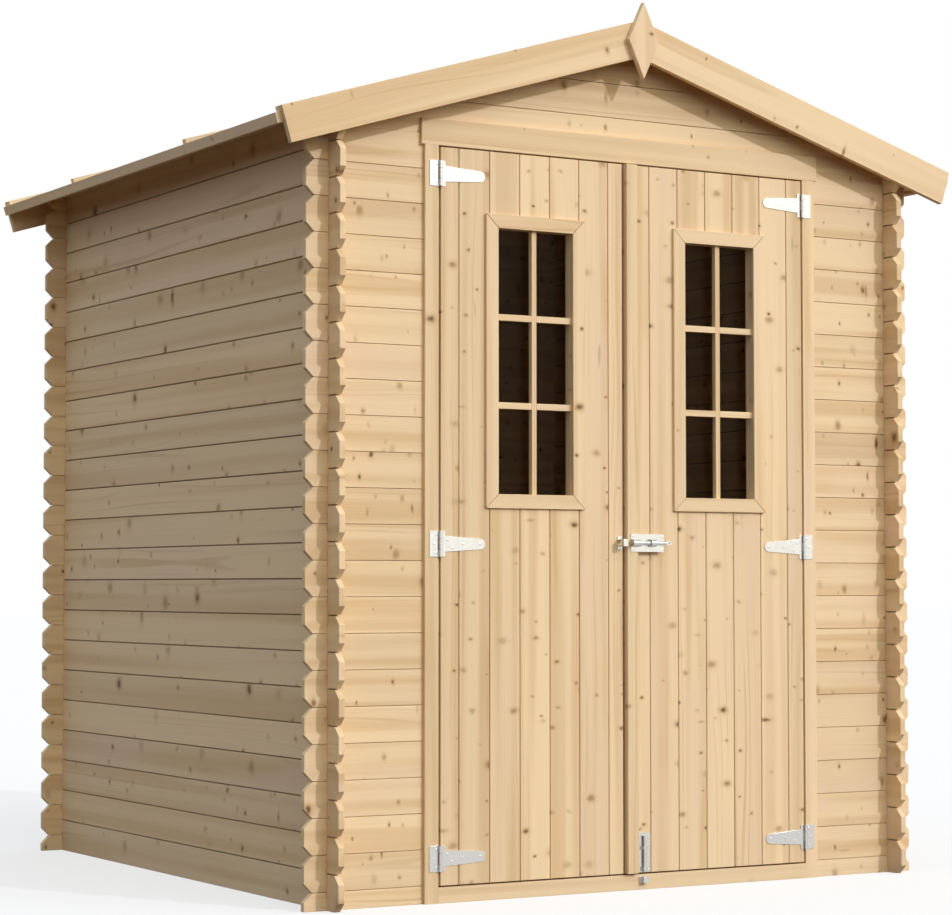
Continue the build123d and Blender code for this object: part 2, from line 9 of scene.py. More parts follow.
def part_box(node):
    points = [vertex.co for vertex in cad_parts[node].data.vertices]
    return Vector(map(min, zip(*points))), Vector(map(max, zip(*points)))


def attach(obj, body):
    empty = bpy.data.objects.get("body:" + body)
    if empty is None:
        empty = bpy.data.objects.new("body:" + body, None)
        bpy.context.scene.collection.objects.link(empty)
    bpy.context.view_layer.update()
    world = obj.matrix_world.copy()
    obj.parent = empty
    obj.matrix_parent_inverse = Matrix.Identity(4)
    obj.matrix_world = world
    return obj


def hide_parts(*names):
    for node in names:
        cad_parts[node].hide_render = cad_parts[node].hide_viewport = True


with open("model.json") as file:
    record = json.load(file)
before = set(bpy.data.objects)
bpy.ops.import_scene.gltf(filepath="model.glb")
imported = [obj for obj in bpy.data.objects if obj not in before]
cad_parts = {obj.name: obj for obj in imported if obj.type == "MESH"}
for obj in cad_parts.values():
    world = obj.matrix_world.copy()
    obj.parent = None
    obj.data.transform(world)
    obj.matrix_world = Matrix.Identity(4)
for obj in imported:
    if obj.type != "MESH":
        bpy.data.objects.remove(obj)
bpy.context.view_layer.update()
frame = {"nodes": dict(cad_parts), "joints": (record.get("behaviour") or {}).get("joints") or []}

# Side walls. Planed spruce boards laid on edge, tongued and grooved into each other. Their ends run past the
# corners, are halved over the end walls' boards and have six-sided tips. Nothing but the joints holds them.
BOARD_HEIGHT = 0.087
BOARD_COUNT = 22
SIDE_WALL_GAP = 0.0037
EASED_EDGE = 0.0008
EASED_SEGMENTS = 2
TONGUE = 0.005
TONGUE_SET_BACK = 0.004
MERGE = 0.00001
FLAT_ANGLE = math.radians(1)
SHARP_ANGLE = math.radians(30)
SIDE_WALL_KNOTS_SHARE = 1.2
# The side walls' tongues are darkened to a share of the boards' colour: painted shade that deepens the joint
# lines between the boards.
SIDE_WALL_TONGUE_PAINTED_SHADE_SHARE = 0.45
ACROSS_X = Vector((1, 0, 0))
ACROSS_Y = Vector((0, 1, 0))
UP = Vector((0, 0, 1))

# The side walls' grain is drawn larger along and across than it is, so that it shows at a slant
SIDE_WALL_GRAIN_SHARES = (1.8, 1.3)


def linear(hex_value):
    """An sRGB hex colour as linear values with full alpha."""
    shares = [int(hex_value[place : place + 2], 16) / 255 for place in (0, 2, 4)]
    return [s / 12.92 if s <= 0.04045 else ((s + 0.055) / 1.055) ** 2.4 for s in shares] + [1.0]


def add_node(tree, kind, inputs, **settings):
    """Adds a node with its settings; an input is a value, a socket, or a node for its first output."""
    node = tree.nodes.new(kind)
    for name, value in settings.items():
        setattr(node, name, value)
    for key, value in inputs.items():
        if isinstance(value, bpy.types.Node):
            value = value.outputs[0]
        if isinstance(value, bpy.types.NodeSocket):
            tree.links.new(value, node.inputs[key])
        else:
            node.inputs[key].default_value = value
    return node


def new_material(name):
    """An empty material and its node tree."""
    material = bpy.data.materials.new(name)
    material.use_nodes = True
    material.node_tree.nodes.clear()
    return material, material.node_tree


# Planed spruce: smooth pale wood with broad soft bands along the board, faint growth rings, a pinkish flush
# in places, and soft brown knots drawn out across it. Fibres are drawn three times too coarse, to show.
SOFT_DETAIL = 1.0
FINE_DETAIL = 2.0
PALE_WOOD = "EBCEA3"
DEEP_WOOD = "DBB98B"
PINK_WOOD = "E8C9A7"
RING_LINE = "C29A68"
RESIN = "9C7A5C"
KNOT_HALO = "CDA674"
KNOT = "936A42"
KNOT_HEART = "4C2D13"
BAND_LENGTH = 1.6
BAND_WIDTH = 0.040
BAND_SHARES = (0.40, 0.68)
RING_WIDTH = 0.0042
RING_SHARES = (0.50, 0.74)
RING_STRENGTH_SHARES = (0.46, 0.74)
RING_MOST_SHARE = 0.48
RING_PATCH_LENGTH = 0.7
RING_PATCH_WIDTH = 0.06
RING_WANDER = 0.030
WANDER_LENGTH = 0.8
WANDER_WIDTH = 0.16
FLUSH_LENGTH = 0.40
FLUSH_WIDTH = 0.10
FLUSH_SHARES = (0.42, 0.60)
FIBRE_LENGTH = 0.30
FIBRE_WIDTH = 0.0030
FIBRE_SHARES = (0.25, 0.75)
FIBRE_SHADE_SHARES = (0.965, 1.035)
RESIN_LENGTH = 0.14
RESIN_WIDTH = 0.020
RESIN_SHARES = (0.77, 0.84)
RESIN_MOST_SHARE = 0.40
KNOT_KINDS = (
    {"cell": 0.120, "least": 0.0034, "most": 0.0060, "drawn_out": 3.2, "share": 0.35},
    {"cell": 0.110, "least": 0.0045, "most": 0.0105, "drawn_out": 1.45, "share": 0.9},
    {"cell": 0.080, "least": 0.0028, "most": 0.0055, "drawn_out": 1.3, "share": 0.55},
)
KNOT_RAGGED = 0.008
KNOT_RAGGED_SIZE = 0.016
KNOT_EDGE_SHARES = (1.30, 0.20)
KNOT_HALO_SHARES = (2.3, 0.8)
KNOT_FAINT_SHARE = 0.26
KNOT_FAINTNESS = 1.35
KNOT_HALO_MOST_SHARE = 0.40
KNOT_MOST_SHARE = 0.95
HEART_SHARES = (0.62, 1.0)
HEART_MOST_SHARE = 0.66
KNOT_SWIRL = 0.003
PLANED_ROUGHNESS = (0.56, 0.70)
PLANED_GLOSS_SHARE = 0.30
GRAIN_DEPTH = 0.0003
GRAIN_RELIEF_SHARE = 0.25


def knots_on(tree, flat, chance, kind):
    """One kind of knot, at most one to a cell, each with a size and a darkness of its own."""
    cell = kind["cell"]
    across = (1, 1 / kind["drawn_out"], 1)
    drawn = add_node(tree, "ShaderNodeVectorMath", {0: flat, 1: across}, operation="MULTIPLY")
    cells = {"Vector": drawn, "Scale": 1 / cell}
    spot = add_node(tree, "ShaderNodeTexVoronoi", cells, voronoi_dimensions="2D")
    luck = add_node(tree, "ShaderNodeSeparateXYZ", {0: spot.outputs["Color"]}).outputs
    away = add_node(tree, "ShaderNodeMath", {0: spot.outputs["Distance"], 1: cell}, operation="MULTIPLY")
    radius = add_node(tree, "ShaderNodeMapRange", {0: luck[1], 3: kind["least"], 4: kind["most"]})
    inside = add_node(tree, "ShaderNodeMath", {0: away, 1: radius}, operation="DIVIDE")
    own_chance = add_node(tree, "ShaderNodeMath", {0: chance, 1: kind["share"]}, operation="MULTIPLY")
    present = add_node(tree, "ShaderNodeMath", {0: luck[0], 1: own_chance}, operation="LESS_THAN")
    fainter = add_node(tree, "ShaderNodeMath", {0: luck[2], 1: KNOT_FAINTNESS}, operation="POWER")
    dark = add_node(tree, "ShaderNodeMapRange", {0: fainter, 3: KNOT_FAINT_SHARE, 4: 1.0})
    shown = add_node(tree, "ShaderNodeMath", {0: present, 1: dark}, operation="MULTIPLY")
    layers = []
    for start, end in (KNOT_EDGE_SHARES, KNOT_HALO_SHARES):
        edge = {0: inside, 1: start, 2: end}
        near = add_node(tree, "ShaderNodeMapRange", edge, interpolation_type="SMOOTHSTEP")
        layers.append(add_node(tree, "ShaderNodeMath", {0: near, 1: shown}, operation="MULTIPLY"))
    return layers


def planed_spruce():
    """The wood of every board, from the grain and tone that its points carry."""
    material, tree = new_material("planed_spruce")
    grain = add_node(tree, "ShaderNodeAttribute", {}, attribute_name="grain").outputs["Vector"]
    tone = add_node(tree, "ShaderNodeAttribute", {}, attribute_name="tone").outputs["Vector"]
    # The tone's first part is each board's own random tone; on the side walls' tongues it is also darkened
    # as painted shade in the joints.
    tone_and_painted_shade, pink, chance = add_node(tree, "ShaderNodeSeparateXYZ", {0: tone}).outputs
    along, across, depth = add_node(tree, "ShaderNodeSeparateXYZ", {0: grain}).outputs

    # Knots: spikes, ovals and small round ones, with ragged outlines
    flat = add_node(tree, "ShaderNodeCombineXYZ", {0: along, 1: across})
    rags = {"Vector": flat, "Scale": 1 / KNOT_RAGGED_SIZE, "Detail": FINE_DETAIL}
    ragged = add_node(tree, "ShaderNodeTexNoise", rags).outputs["Color"]
    ragged_by = add_node(tree, "ShaderNodeVectorMath", {0: ragged, "Scale": KNOT_RAGGED}, operation="SCALE")
    bent = add_node(tree, "ShaderNodeVectorMath", {0: flat, 1: ragged_by}, operation="ADD")
    knot = 0.0
    halo = 0.0
    for kind in KNOT_KINDS:
        kind_knot, kind_halo = knots_on(tree, bent, chance, kind)
        knot = add_node(tree, "ShaderNodeMath", {0: knot, 1: kind_knot}, operation="MAXIMUM")
        halo = add_node(tree, "ShaderNodeMath", {0: halo, 1: kind_halo}, operation="MAXIMUM")
    heart_start, heart_end = HEART_SHARES
    hearts = {0: knot, 1: heart_start, 2: heart_end, 4: HEART_MOST_SHARE}
    heart = add_node(tree, "ShaderNodeMapRange", hearts, interpolation_type="SMOOTHSTEP")

    # Bands, ring patches, flushes, resin and fibres: noise drawn out along the board
    stretches = {
        "band": (BAND_LENGTH, BAND_WIDTH, SOFT_DETAIL),
        "ring_patch": (RING_PATCH_LENGTH, RING_PATCH_WIDTH, SOFT_DETAIL),
        "wander": (WANDER_LENGTH, WANDER_WIDTH, SOFT_DETAIL),
        "flush": (FLUSH_LENGTH, FLUSH_WIDTH, SOFT_DETAIL),
        "resin": (RESIN_LENGTH, RESIN_WIDTH, SOFT_DETAIL),
        "fibre": (FIBRE_LENGTH, FIBRE_WIDTH, FINE_DETAIL),
    }
    drawn_out = {}
    for name, (length, width, detail) in stretches.items():
        scales = (1 / length, 1 / width, 1 / width)
        at = add_node(tree, "ShaderNodeVectorMath", {0: grain, 1: scales}, operation="MULTIPLY")
        noise = {"Vector": at, "Scale": 1.0, "Detail": detail}
        drawn_out[name] = add_node(tree, "ShaderNodeTexNoise", noise)
    limits = {
        "band": (BAND_SHARES, 1.0),
        "ring_patch": (RING_STRENGTH_SHARES, RING_MOST_SHARE),
        "flush": (FLUSH_SHARES, 1.0),
        "resin": (RESIN_SHARES, RESIN_MOST_SHARE),
    }
    shares = {}
    for name, ((start, end), most) in limits.items():
        limit = {0: drawn_out[name], 1: start, 2: end, 4: most}
        shares[name] = add_node(tree, "ShaderNodeMapRange", limit, interpolation_type="SMOOTHSTEP")

    # Growth rings: uneven lines by the distance from a pith that wanders, and bent round the knots
    section = add_node(tree, "ShaderNodeCombineXYZ", {0: across, 1: depth})
    from_pith = add_node(tree, "ShaderNodeVectorMath", {0: section}, operation="LENGTH").outputs["Value"]
    wander = {0: drawn_out["wander"], 1: RING_WANDER, 2: from_pith}
    wandered = add_node(tree, "ShaderNodeMath", wander, operation="MULTIPLY_ADD")
    swirl = {0: halo, 1: KNOT_SWIRL, 2: wandered}
    swirled = add_node(tree, "ShaderNodeMath", swirl, operation="MULTIPLY_ADD")
    turns = add_node(tree, "ShaderNodeMath", {0: swirled, 1: RING_WIDTH}, operation="DIVIDE")
    growth = {"W": turns, "Scale": 1.0, "Detail": SOFT_DETAIL}
    uneven = add_node(tree, "ShaderNodeTexNoise", growth, noise_dimensions="1D")
    late_start, late_end = RING_SHARES
    late_wood = {0: uneven, 1: late_start, 2: late_end}
    late = add_node(tree, "ShaderNodeMapRange", late_wood, interpolation_type="SMOOTHSTEP")
    ring = add_node(tree, "ShaderNodeMath", {0: late, 1: shares["ring_patch"]}, operation="MULTIPLY")

    # Colour: each layer is mixed over the one before
    halo_share = add_node(tree, "ShaderNodeMath", {0: halo, 1: KNOT_HALO_MOST_SHARE}, operation="MULTIPLY")
    knot_share = add_node(tree, "ShaderNodeMath", {0: knot, 1: KNOT_MOST_SHARE}, operation="MULTIPLY")
    flushed = add_node(tree, "ShaderNodeMath", {0: shares["flush"], 1: pink}, operation="MULTIPLY")
    colour = linear(PALE_WOOD)
    layers = (
        (shares["band"], DEEP_WOOD),
        (flushed, PINK_WOOD),
        (ring, RING_LINE),
        (shares["resin"], RESIN),
        (halo_share, KNOT_HALO),
        (knot_share, KNOT),
        (heart, KNOT_HEART),
    )
    for share, hex_value in layers:
        over = {"Factor": share, 6: colour, 7: linear(hex_value)}
        colour = add_node(tree, "ShaderNodeMix", over, data_type="RGBA").outputs[2]
    fibre = drawn_out["fibre"]
    fibre_start, fibre_end = FIBRE_SHARES
    dark_fibre, pale_fibre = FIBRE_SHADE_SHARES
    fibre_limits = {0: fibre, 1: fibre_start, 2: fibre_end, 3: dark_fibre, 4: pale_fibre}
    fibre_shade = add_node(tree, "ShaderNodeMapRange", fibre_limits)
    shaded = add_node(tree, "ShaderNodeMath", {0: fibre_shade, 1: tone_and_painted_shade}, operation="MULTIPLY")
    wood = add_node(tree, "ShaderNodeVectorMath", {0: colour, "Scale": shaded}, operation="SCALE")

    # Surface: rings and fibres stand up a little, and fibres are rougher
    least_rough, most_rough = PLANED_ROUGHNESS
    roughness = add_node(tree, "ShaderNodeMapRange", {0: fibre, 3: least_rough, 4: most_rough})
    height = add_node(tree, "ShaderNodeMath", {0: ring, 1: fibre}, operation="ADD")
    relief = {"Height": height, "Strength": GRAIN_RELIEF_SHARE, "Distance": GRAIN_DEPTH}
    surface = {
        "Base Color": wood,
        "Roughness": roughness,
        "Normal": add_node(tree, "ShaderNodeBump", relief),
        "Specular IOR Level": PLANED_GLOSS_SHARE,
    }
    shader = add_node(tree, "ShaderNodeBsdfPrincipled", surface)
    add_node(tree, "ShaderNodeOutputMaterial", {"Surface": shader})
    return material


spruce = planed_spruce()


def merged(node):
    """A copy of a CAD node's mesh with its loose triangles joined."""
    bm = bmesh.new()
    bm.from_mesh(frame["nodes"][node].data)
    bmesh.ops.remove_doubles(bm, verts=bm.verts, dist=MERGE)
    return bm


def islands(bm):
    """The separate parts of a mesh, each as a mesh of its own."""
    bm.verts.index_update()
    bm.verts.ensure_lookup_table()
    left = set(range(len(bm.verts)))
    found = []
    while left:
        group = {min(left)}
        edge_of_group = list(group)
        while edge_of_group:
            vert = bm.verts[edge_of_group.pop()]
            for edge in vert.link_edges:
                other = edge.other_vert(vert).index
                if other not in group:
                    group.add(other)
                    edge_of_group.append(other)
        left -= group
        part = bm.copy()
        others = [vert for vert in part.verts if vert.index not in group]
        bmesh.ops.delete(part, geom=others, context="VERTS")
        found.append(part)
    bm.free()
    return found


def cut(bm, point, away):
    """Cuts off what lies beyond a plane and closes the cut."""
    everything = bm.verts[:] + bm.edges[:] + bm.faces[:]
    done = bmesh.ops.bisect_plane(
        bm, geom=everything, dist=MERGE, plane_co=point, plane_no=away, clear_outer=True
    )
    rim = [part for part in done["geom_cut"] if isinstance(part, bmesh.types.BMEdge) and part.is_boundary]
    bmesh.ops.holes_fill(bm, edges=rim)


def ease(bm, width):
    """Joins flat faces and takes the sharpness off the arrises."""
    bmesh.ops.dissolve_limit(bm, angle_limit=FLAT_ANGLE, verts=bm.verts, edges=bm.edges)
    sharp = [edge for edge in bm.edges if edge.is_manifold and edge.calc_face_angle() > SHARP_ANGLE]
    bmesh.ops.bevel(
        bm,
        geom=sharp,
        offset=width,
        offset_type="OFFSET",
        segments=EASED_SEGMENTS,
        profile=0.5,
        affect="EDGES",
        clamp_overlap=True,
        material=-1,
    )


def block(low, high):
    """A box between two corners."""
    bm = bmesh.new()
    bmesh.ops.create_cube(bm, size=1)
    bmesh.ops.scale(bm, verts=bm.verts, vec=high - low)
    bmesh.ops.translate(bm, verts=bm.verts, vec=(low + high) / 2)
    return bm


def join(whole, part):
    """Adds a part to a whole and gives the part's points there."""
    first = len(whole.verts)
    loose = bpy.data.meshes.new("part")
    part.to_mesh(loose)
    part.free()
    whole.from_mesh(loose)
    bpy.data.meshes.remove(loose)
    whole.verts.ensure_lookup_table()
    return whole.verts[first:]


def new_timber():
    """An empty piece whose points carry a grain and a tone."""
    whole = bmesh.new()
    whole.verts.layers.float_vector.new("grain")
    whole.verts.layers.float_vector.new("tone")
    return whole


# Each board is cut from its own place in a tree: how far along, how far from the pith, and its tone
TREE_SEED = 7
GRAIN_RUN = 60.0
PITH_ASIDE = 0.045
PITH_NEAREST = 0.03
PITH_FURTHEST = 0.10
GRAIN_SHARES = (1.0, 1.0)
BOARD_SHADE_SHARES = (0.93, 1.05)
BOARD_PINK_SHARES = (0.0, 0.7)
BOARD_KNOTS_SHARES = (0.6, 1.4)
random.seed(TREE_SEED)


def lay(whole, board, along, face, knots_share, grain_shares=GRAIN_SHARES, painted_shade_share=1.0):
    """Adds one board to a piece, with a grain of its own, drawn larger by its shares along and across."""
    own = join(whole, board)
    grain = whole.verts.layers.float_vector["grain"]
    tone = whole.verts.layers.float_vector["tone"]
    across = face.cross(along)
    along_share, across_share = grain_shares
    middle = sum((vert.co for vert in own), Vector()) / len(own)
    run = random.uniform(0, GRAIN_RUN)
    aside = random.uniform(-PITH_ASIDE, PITH_ASIDE)
    pith = random.uniform(PITH_NEAREST, PITH_FURTHEST)
    # A share below one darkens the piece's colour: painted shade, used for the tongues in the side walls'
    # joints.
    tone_and_painted_shade = painted_shade_share * random.uniform(*BOARD_SHADE_SHARES)
    pink = random.uniform(*BOARD_PINK_SHARES)
    chance = knots_share * random.uniform(*BOARD_KNOTS_SHARES)
    for vert in own:
        place = vert.co - middle
        length = place.dot(along) / along_share
        width = place.dot(across) / across_share
        depth = place.dot(face) / across_share
        vert[grain] = Vector((length + run, width + aside, depth + pith))
        vert[tone] = Vector((tone_and_painted_shade, pink, chance))


def finish(whole, name, body, slot, material, *nodes):
    """Makes the piece an object that rides a body and stands for its CAD nodes."""
    mesh = bpy.data.meshes.new(name)
    whole.to_mesh(mesh)
    whole.free()
    mesh.materials.append(material)
    piece = bpy.data.objects.new(name, mesh)
    bpy.context.scene.collection.objects.link(piece)
    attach(piece, body)
    if nodes:
        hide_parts(*nodes)


def slices(node, way, joints, gap):
    """A node cut at its joints into boards, from the lowest along the way up."""
    low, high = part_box(node)
    inner = [place for place in joints if way.dot(low) + gap < place < way.dot(high) - gap]
    boards = []
    for start, end in zip([None] + inner, inner + [None]):
        board = merged(node)
        if start is not None:
            cut(board, way * (start + gap / 2), -way)
        if end is not None:
            cut(board, way * (end - gap / 2), way)
        ease(board, EASED_EDGE)
        boards.append(board)
    return boards, inner


def tongues(node, way, along, face, joints, gap):
    """The tongues that close the joints from within, set back from the board ends."""
    low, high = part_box(node)
    middle = (low + high) / 2
    strips = []
    for place in joints:
        level = merged(node)
        everything = level.verts[:] + level.edges[:] + level.faces[:]
        bmesh.ops.bisect_plane(
            level,
            geom=everything,
            dist=MERGE,
            plane_co=way * place,
            plane_no=way,
            clear_inner=True,
            clear_outer=True,
        )
        flat = middle - along * along.dot(middle) + way * (place - way.dot(middle))
        reach = face * (TONGUE / 2) + way * gap
        reach = Vector([abs(value) for value in reach])
        for section in islands(level):
            ends = [along.dot(vert.co) for vert in section.verts]
            section.free()
            start = flat + along * (min(ends) + TONGUE_SET_BACK) - reach
            end = flat + along * (max(ends) - TONGUE_SET_BACK) + reach
            strips.append(block(start, end))
    return strips


def boarded(
    node, name, body, way, along, face, joints, gap, tongue_painted_shade_share, knots_share, grain_shares=GRAIN_SHARES
):
    """A node rebuilt as its separate boards, with tongues whose colour a share scales down as painted shade
    in the joints, or with none.
    """
    whole = new_timber()
    boards, inner = slices(node, way, joints, gap)
    for board in boards:
        lay(whole, board, along, face, knots_share, grain_shares)
    if tongue_painted_shade_share:
        for strip in tongues(node, way, along, face, inner, gap):
            lay(whole, strip, along, face, 0, grain_shares, tongue_painted_shade_share)
    finish(whole, name, body, "spruce", spruce, node)


side_joints = [row * BOARD_HEIGHT for row in range(1, BOARD_COUNT)]
for side, outward in (("left", -ACROSS_X), ("right", ACROSS_X)):
    boarded(
        f"{side}_wall",
        f"{side}_wall_boards",
        "shed",
        UP,
        ACROSS_Y,
        outward,
        side_joints,
        SIDE_WALL_GAP,
        SIDE_WALL_TONGUE_PAINTED_SHADE_SHARE,
        SIDE_WALL_KNOTS_SHARE,
        SIDE_WALL_GRAIN_SHARES,
    )

# End walls and gables. The same boards, half a board out of step with the side walls, so that each crossing
# board drops into its neighbours. Beside the doorway they end in the grooves of the door posts.
END_BOARD_COUNT = 25
HALF_BOARD = BOARD_HEIGHT / 2
END_WALL_GAP = 0.0014
END_WALL_KNOTS_SHARE = 1.0
END_WALL_TONGUE_SHADE_SHARE = 1.0
end_joints = [row * BOARD_HEIGHT + HALF_BOARD for row in range(END_BOARD_COUNT)]
end_walls = {
    "front_wall_left": -ACROSS_Y,
    "front_wall_right": -ACROSS_Y,
    "front_gable": -ACROSS_Y,
    "back_wall": ACROSS_Y,
    "back_gable": ACROSS_Y,
}
for node, outward in end_walls.items():
    boarded(
        node,
        f"{node}_boards",
        "shed",
        UP,
        ACROSS_X,
        outward,
        end_joints,
        END_WALL_GAP,
        END_WALL_TONGUE_SHADE_SHARE,
        END_WALL_KNOTS_SHARE,
    )

# Floor. Spruce boards as wide as the walls' boards, laid edge to edge without tongues and nailed across
# bearers. The bearers are battens that lie on the ground inside the walls.
NO_TONGUES = 0
FLOOR_GAP = 0.0014
FLOOR_KNOTS_SHARE = 0.45
BEARER_KNOTS_SHARE = 0.3
floor_low, floor_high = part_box("floor")
floor_count = math.ceil((floor_high.x - floor_low.x) / BOARD_HEIGHT)
floor_joints = [floor_low.x + BOARD_HEIGHT * place for place in range(1, floor_count)]
boarded(
    "floor",
    "floor_boards",
    "shed",
    ACROSS_X,
    ACROSS_Y,
    UP,
    floor_joints,
    FLOOR_GAP,
    NO_TONGUES,
    FLOOR_KNOTS_SHARE,
)


def planed(node, name, body, along, face, knots_share):
    """A node rebuilt as planed lengths of timber with eased arrises."""
    whole = new_timber()
    for solid in islands(merged(node)):
        ease(solid, EASED_EDGE)
        lay(whole, solid, along, face, knots_share)
    finish(whole, name, body, "spruce", spruce, node)


planed("floor_bearers", "floor_bearer_battens", "shed", ACROSS_X, UP, BEARER_KNOTS_SHARE)

# Door frame. Two grooved posts of planed spruce stand beside the doorway, with a sill and a head rail
# between them. A wider header board is nailed over the front of the gable above.
FRAME_KNOTS_SHARE = 0.25
for side in ("left", "right"):
    planed(f"door_post_{side}", f"door_post_{side}_planed", "shed", UP, -ACROSS_Y, FRAME_KNOTS_SHARE)
for node in ("door_head", "door_sill", "header_board"):
    planed(node, f"{node}_planed", "shed", ACROSS_X, -ACROSS_Y, FRAME_KNOTS_SHARE)

# Roof. Spruce purlins run through the gables and carry boards laid from ridge to eaves. Felt covers the
# boards, battens nailed over it hold it down, and a strip closes each eave.
ROOF_PITCH = math.radians(17)
ROOF_GAP = 0.0014
ROOF_KNOTS_SHARE = 0.45
BATTEN_KNOTS_SHARE = 0.15
roof_low, roof_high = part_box("roof_right")
roof_count = round((roof_high.y - roof_low.y) / BOARD_HEIGHT)
roof_board_width = (roof_high.y - roof_low.y) / roof_count
roof_joints = [roof_low.y + roof_board_width * place for place in range(1, roof_count)]
down_slope = {}
for side, outward in (("left", -ACROSS_X), ("right", ACROSS_X)):
    down_slope[side] = outward * math.cos(ROOF_PITCH) - UP * math.sin(ROOF_PITCH)
    underside = -outward * math.sin(ROOF_PITCH) - UP * math.cos(ROOF_PITCH)
    boarded(
        f"roof_{side}",
        f"roof_{side}_boards",
        "shed",
        ACROSS_Y,
        down_slope[side],
        underside,
        roof_joints,
        ROOF_GAP,
        NO_TONGUES,
        ROOF_KNOTS_SHARE,
    )
planed("ridge_purlin", "ridge_purlin_planed", "shed", ACROSS_Y, UP, ROOF_KNOTS_SHARE)
planed("side_purlins", "side_purlins_planed", "shed", ACROSS_Y, UP, ROOF_KNOTS_SHARE)
planed("roof_battens", "roof_battens_planed", "shed", ACROSS_X, UP, BATTEN_KNOTS_SHARE)
planed("eave_strips", "eave_strips_planed", "shed", ACROSS_Y, ACROSS_X, BATTEN_KNOTS_SHARE)

# Mineral felt: bitumen sheet under crushed slate, a dull dark surface of fine grains, with paler scuffed
# patches. The grains are drawn twice as coarse as they are, to show.
FELT_DARK = "2A2C2E"
FELT_PALE = "5A5D60"
GRIT = 0.003
GRIT_SHARES = (0.35, 0.70)
GRIT_DEPTH = 0.0006
GRIT_RELIEF_SHARE = 0.6
SCUFF = 0.35
SCUFF_SHARES = (0.4, 0.7)
SCUFF_LEAST_SHARE = 0.5
MOTTLED_DETAIL = 3.0
FELT_ROUGHNESS = 0.92
FELT_GLOSS_SHARE = 0.2


def mineral_felt():
    """The roof's covering, paler where its grains and its scuffs are."""
    material, tree = new_material("mineral_felt")
    at = add_node(tree, "ShaderNodeTexCoord", {}).outputs["Object"]
    grains = {"Vector": at, "Scale": 1 / GRIT, "Detail": FINE_DETAIL}
    grit = add_node(tree, "ShaderNodeTexNoise", grains)
    patches = {"Vector": at, "Scale": 1 / SCUFF, "Detail": MOTTLED_DETAIL}
    scuff = add_node(tree, "ShaderNodeTexNoise", patches)
    grit_start, grit_end = GRIT_SHARES
    grit_share = add_node(tree, "ShaderNodeMapRange", {0: grit, 1: grit_start, 2: grit_end})
    scuff_start, scuff_end = SCUFF_SHARES
    scuff_limits = {0: scuff, 1: scuff_start, 2: scuff_end, 3: SCUFF_LEAST_SHARE}
    scuff_share = add_node(tree, "ShaderNodeMapRange", scuff_limits)
    pale_share = add_node(tree, "ShaderNodeMath", {0: grit_share, 1: scuff_share}, operation="MULTIPLY")
    over = {"Factor": pale_share, 6: linear(FELT_DARK), 7: linear(FELT_PALE)}
    relief = {"Height": grit, "Strength": GRIT_RELIEF_SHARE, "Distance": GRIT_DEPTH}
    surface = {
        "Base Color": add_node(tree, "ShaderNodeMix", over, data_type="RGBA").outputs[2],
        "Normal": add_node(tree, "ShaderNodeBump", relief),
        "Roughness": FELT_ROUGHNESS,
        "Specular IOR Level": FELT_GLOSS_SHARE,
    }
    shader = add_node(tree, "ShaderNodeBsdfPrincipled", surface)
    add_node(tree, "ShaderNodeOutputMaterial", {"Surface": shader})
    return material


def coat(node, material):
    """Gives a CAD node that keeps its shape its finish."""
    finishes = frame["nodes"][node].data.materials
    finishes.clear()
    finishes.append(material)


coat("roof_felt", mineral_felt())

# Barge boards and finials. Planed boards nailed to the roof's ends, mitred at the ridge, with a pointed
# finial board over the joint at each gable.
BARGE_KNOTS_SHARE = 0.22
FINIAL_KNOTS_SHARE = 0.1
for end, outward in (("front", -ACROSS_Y), ("back", ACROSS_Y)):
    for side in ("left", "right"):
        node = f"{end}_barge_{side}"
        planed(node, f"{node}_planed", "shed", down_slope[side], outward, BARGE_KNOTS_SHARE)
    planed(f"{end}_finial", f"{end}_finial_planed", "shed", UP, outward, FINIAL_KNOTS_SHARE)

# Door leaves. Upright tongued and grooved spruce boards nailed to ledges behind, with a window let in. A
# strip stands along the right-hand leaf where the leaves meet, with a packer of its thickness for the latch.
LEAF_GAP = 0.0025
LEAF_KNOTS_SHARE = 0.95
LEAF_TONGUE_SHADE_SHARE = 1.0
STRIP_KNOTS_SHARE = 0.3
LEAF_BOARD = 0.0872
LEAF_BOARD_COUNT = 7
LEAF_HINGE_BOARDS = {"left": 0.051, "right": 0.049}
for side, inward in (("left", 1), ("right", -1)):
    body = f"{side}_door"
    leaf_low, leaf_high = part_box(f"{side}_leaf")
    hinge_edge = leaf_low.x if inward > 0 else leaf_high.x
    widths = [LEAF_HINGE_BOARDS[side] + row * LEAF_BOARD for row in range(LEAF_BOARD_COUNT - 1)]
    leaf_joints = sorted(hinge_edge + inward * width for width in widths)
    boarded(
        f"{side}_leaf",
        f"{side}_leaf_boards",
        body,
        ACROSS_X,
        UP,
        -ACROSS_Y,
        leaf_joints,
        LEAF_GAP,
        LEAF_TONGUE_SHADE_SHARE,
        LEAF_KNOTS_SHARE,
    )
    planed(f"{side}_ledges", f"{side}_ledge_boards", body, ACROSS_X, ACROSS_Y, LEAF_KNOTS_SHARE)
planed("cover_strip", "cover_strip_planed", "right_door", UP, -ACROSS_Y, STRIP_KNOTS_SHARE)
planed("latch_packer", "latch_packer_planed", "right_door", UP, -ACROSS_Y, 0)

# Windows. Mitred trim is nailed round each opening in front and a rebated bead behind holds the pane.
# An upright bar and two pairs of cross bars divide the opening.
UPRIGHT_BAR = 0.014
CROSS_BAR = 0.016
BAR_DEPTH = 0.0144
BAR_SET_BACK = 0.003
CROSS_BAR_HEIGHTS = (1.211, 1.4295)
TRIM_WIDTH = 0.035
TRIM_KNOTS_SHARE = 0.15
MITRE_GAP = 0.0010
MITRE = Vector((1, 0, 1)).normalized()
COUNTER_MITRE = Vector((1, 0, -1)).normalized()


